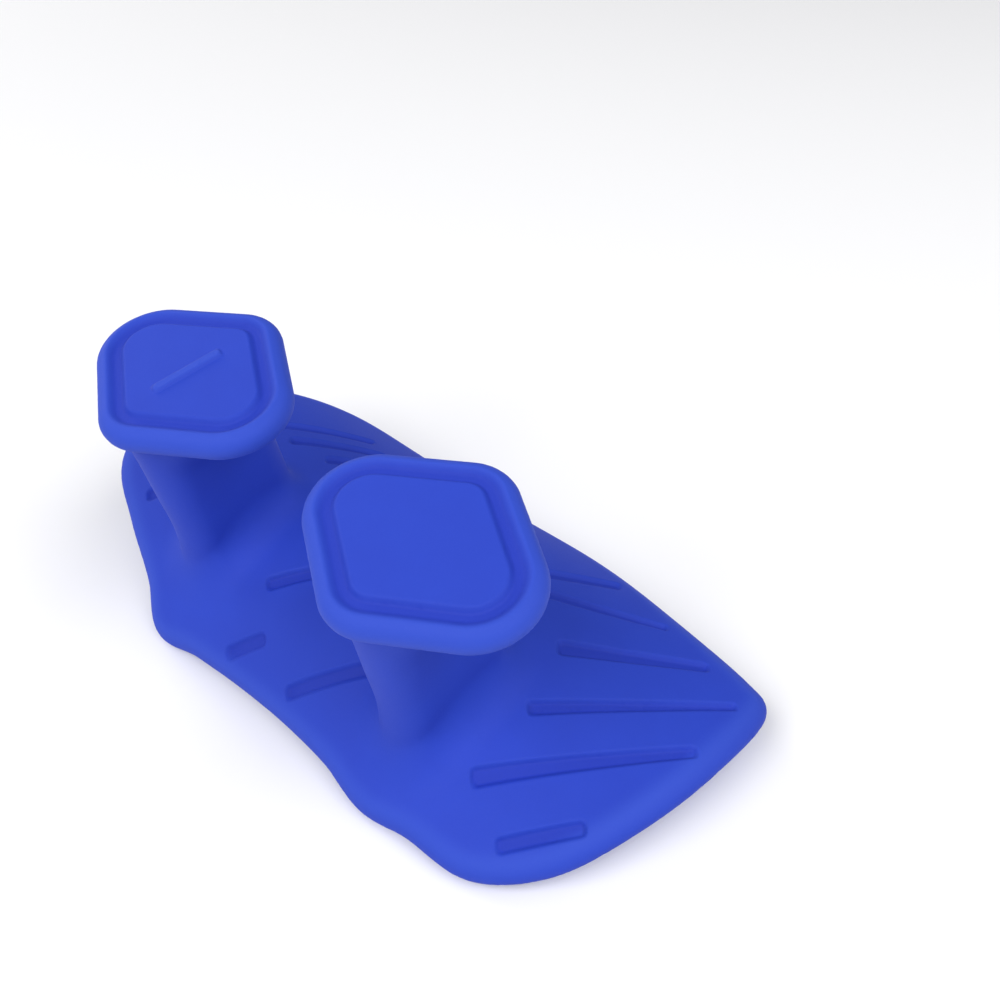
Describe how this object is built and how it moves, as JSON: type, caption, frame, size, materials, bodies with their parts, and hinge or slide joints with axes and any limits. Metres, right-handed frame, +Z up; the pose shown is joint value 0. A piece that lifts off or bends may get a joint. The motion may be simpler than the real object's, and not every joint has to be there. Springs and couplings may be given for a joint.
{
  "type": "weightlifting glove pad",
  "caption": "Arched silicone palm pad worn as a weightlifting glove, with capped posts that go between the fingers, slanting grooves inside and a pocketed grip side.",
  "frame": {"origin": "the middle of the footprint of its box, on the surface that it rests on with the grip side down", "axes": "+X runs across the hand from the index side to the little-finger side, +Y from the fingers to the wrist, +Z up"},
  "size_m": [0.0976, 0.0526, 0.0435],
  "materials": {
    "silicone": "matte moulded silicone"
  },
  "bodies": {
    "root": {"grip_pad": "silicone"}
  },
  "joints": []
}
